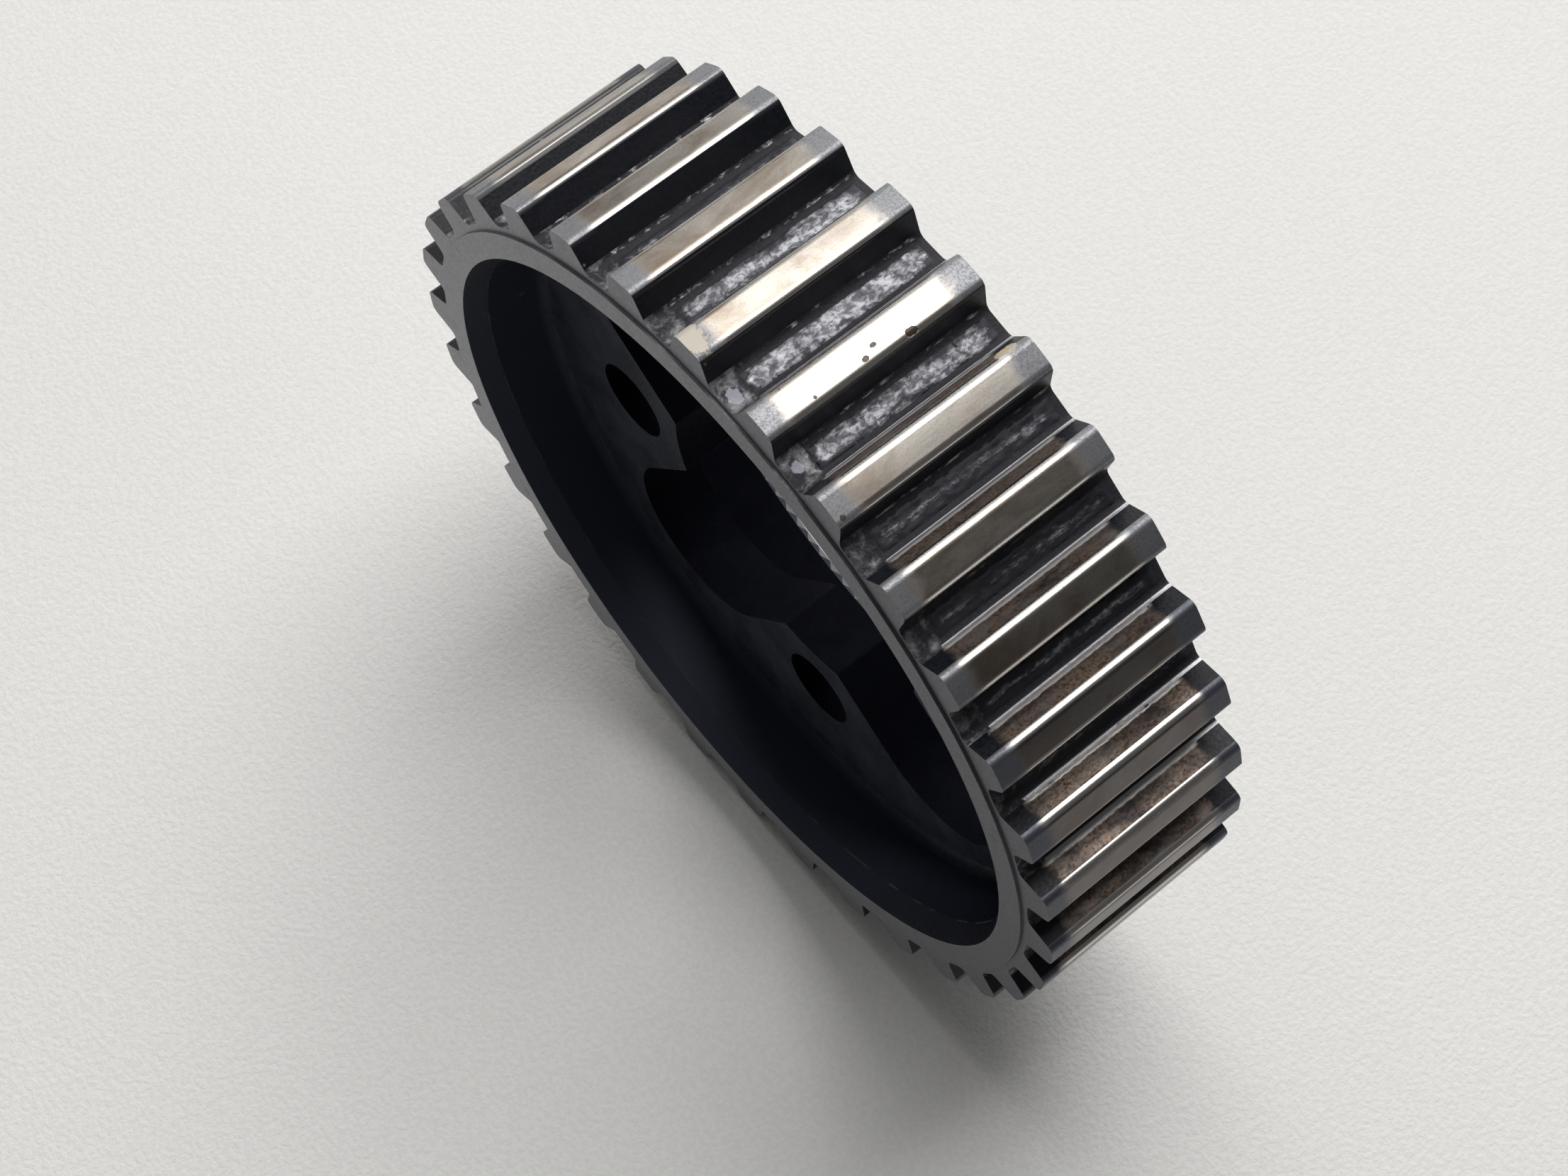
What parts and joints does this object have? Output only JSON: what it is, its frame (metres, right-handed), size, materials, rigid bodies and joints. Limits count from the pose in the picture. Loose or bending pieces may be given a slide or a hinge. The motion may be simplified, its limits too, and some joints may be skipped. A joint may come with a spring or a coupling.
{
  "type": "injection pump belt gear",
  "caption": "Cup-shaped toothed belt gear for an injection pump: wide straight-toothed rim, deep open cup and a windowed web with bolt lugs.",
  "frame": {"origin": "on the gear's axis, in the plane of the back end of its teeth, on which it stands", "axes": "+Z along the axis out of the open cup; +X through the middle of one bolt lug"},
  "size_m": [0.0954, 0.0954, 0.0239],
  "materials": {
    "dark_steel": "dark oil-stained steel, matt grey on the faces, polished on the tooth tips"
  },
  "bodies": {
    "root": {"pump_gear": "dark_steel"}
  },
  "joints": []
}
